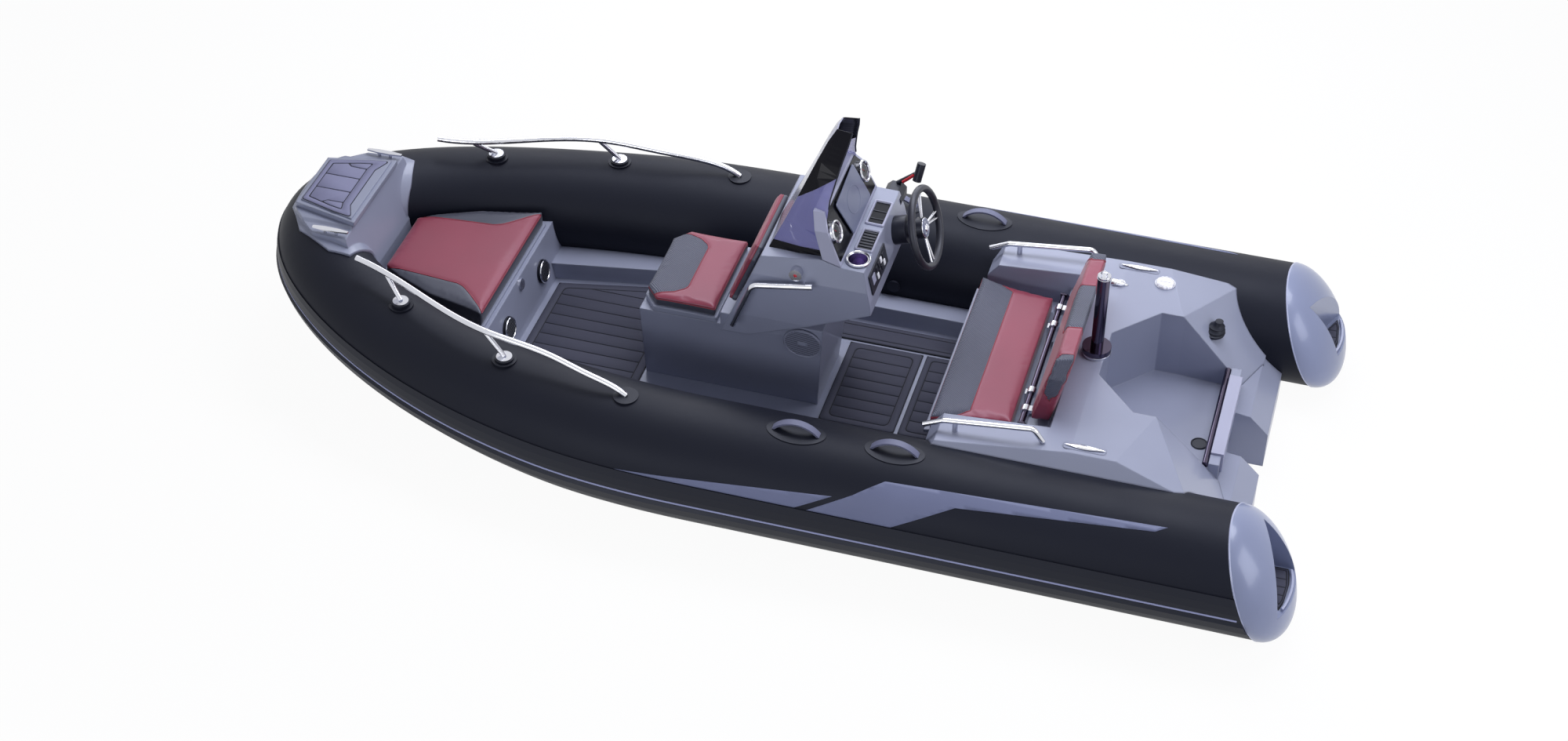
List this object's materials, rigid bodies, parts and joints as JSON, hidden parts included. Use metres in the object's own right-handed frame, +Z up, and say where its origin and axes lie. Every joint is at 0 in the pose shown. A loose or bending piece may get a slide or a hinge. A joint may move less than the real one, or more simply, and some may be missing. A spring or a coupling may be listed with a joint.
{
  "type": "rigid inflatable boat",
  "caption": "Rigid inflatable boat with a console, bow locker, folding stern bench, steering wheel and hinged seats; outboard not fitted",
  "frame": {"origin": "On the centreline at the waterline, amidships", "axes": "+X forward to the bow, +Y to port, +Z up"},
  "size_m": [4.4608, 2.023, 1.664],
  "materials": {
    "moulding": "light blue-grey gel coat, gloss",
    "tube_fabric": "near-black coated fabric, satin",
    "strake_rubber": "black rubber with a pale line",
    "cone_plastic": "blue-grey moulded plastic, satin",
    "deck_foam": "dark brushed foam decking with black grooves",
    "step_foam": "grey foam tread with black grooves",
    "black_plastic": "black moulded plastic",
    "black_rubber": "black rubber",
    "stainless": "polished stainless steel",
    "red_vinyl": "deep red stitched vinyl with dark ribbed panels",
    "dark_vinyl": "dark ribbed vinyl with red piping",
    "gloss_panel": "black gloss panel",
    "instrument": "instrument face in a bright bezel",
    "grip_leather": "black stitched grip",
    "tinted_screen": "blue-violet tinted acrylic"
  },
  "bodies": {
    "boat": {"hull": "moulding", "deck_liner": "moulding", "stern_module": "moulding", "tube_collar": "tube_fabric", "rub_strake": "strake_rubber", "tail_cone_port": "cone_plastic", "tail_cone_starboard": "cone_plastic", "cone_pads": "deck_foam", "floor_pads": "deck_foam", "outboard_pad": "black_plastic", "well_bar": "stainless", "well_drain": "stainless", "bow_step_locker": "moulding", "bow_cleats": "stainless", "bow_rails": "stainless", "rail_bases": "black_rubber", "tube_handles": "black_rubber", "handle_patches": "tube_fabric", "tube_valves": "black_plastic", "seat_vents": "black_plastic", "bow_seat_latch": "stainless", "console_shell": "moulding", "console_backrest_pad": "dark_vinyl", "dashboard": "gloss_panel", "gauges": "instrument", "display_panel": "gloss_panel", "cup_holder": "stainless", "switch_panel": "gloss_panel", "windshield": "tinted_screen", "windshield_rail": "stainless", "console_rails": "stainless", "nav_lights": "stainless", "helm_boss": "black_plastic", "throttle_box": "black_plastic", "throttle_lever": "black_plastic", "hinge_bar": "stainless", "bench_handrails": "stainless", "stern_cleats": "stainless", "fuel_filler": "stainless", "tank_breather": "stainless", "ski_mast": "stainless", "rigging_boot": "black_rubber"},
    "step_lid": {"bow_step_lid": "moulding", "bow_step_pad": "step_foam"},
    "bow_seat": {"bow_seat_lid": "moulding", "bow_seat_cushion": "red_vinyl"},
    "console_seat": {"console_seat_lid": "moulding", "console_seat_cushion": "red_vinyl"},
    "bench": {"bench_lid": "moulding", "bench_cushion": "red_vinyl", "bench_hinges": "stainless"},
    "backrest": {"backrest_cushion": "red_vinyl", "backrest_hinges": "stainless"},
    "steering": {"wheel_rim": "grip_leather", "wheel_spokes": "stainless", "wheel_hub": "black_plastic"}
  },
  "joints": [
    {"name": "bow_step_hinge", "type": "hinge", "parent": "boat", "child": "step_lid", "pos_m": [2.085, 0, 0.6505], "axis": [0, 1, 0], "range_deg": [0, 75]},
    {"name": "bow_seat_hinge", "type": "hinge", "parent": "boat", "child": "bow_seat", "pos_m": [1.712, 0, 0.425], "axis": [0, 1, 0], "range_deg": [0, 60]},
    {"name": "console_seat_hinge", "type": "hinge", "parent": "boat", "child": "console_seat", "pos_m": [0.214, 0, 0.578], "axis": [0, -1, 0], "range_deg": [0, 65]},
    {"name": "bench_hinge", "type": "hinge", "parent": "boat", "child": "bench", "pos_m": [-1.072, 0, 0.452], "axis": [0, -1, 0], "range_deg": [0, 65]},
    {"name": "backrest_hinge", "type": "hinge", "parent": "boat", "child": "backrest", "pos_m": [-1.072, 0, 0.452], "axis": [0, -1, 0], "range_deg": [-100, 0]},
    {"name": "steering_turn", "type": "hinge", "parent": "boat", "child": "steering", "pos_m": [-0.537, -0.14, 0.892], "axis": [-0.9511, 0, 0.309], "range_deg": [-540, 540]}
  ]
}
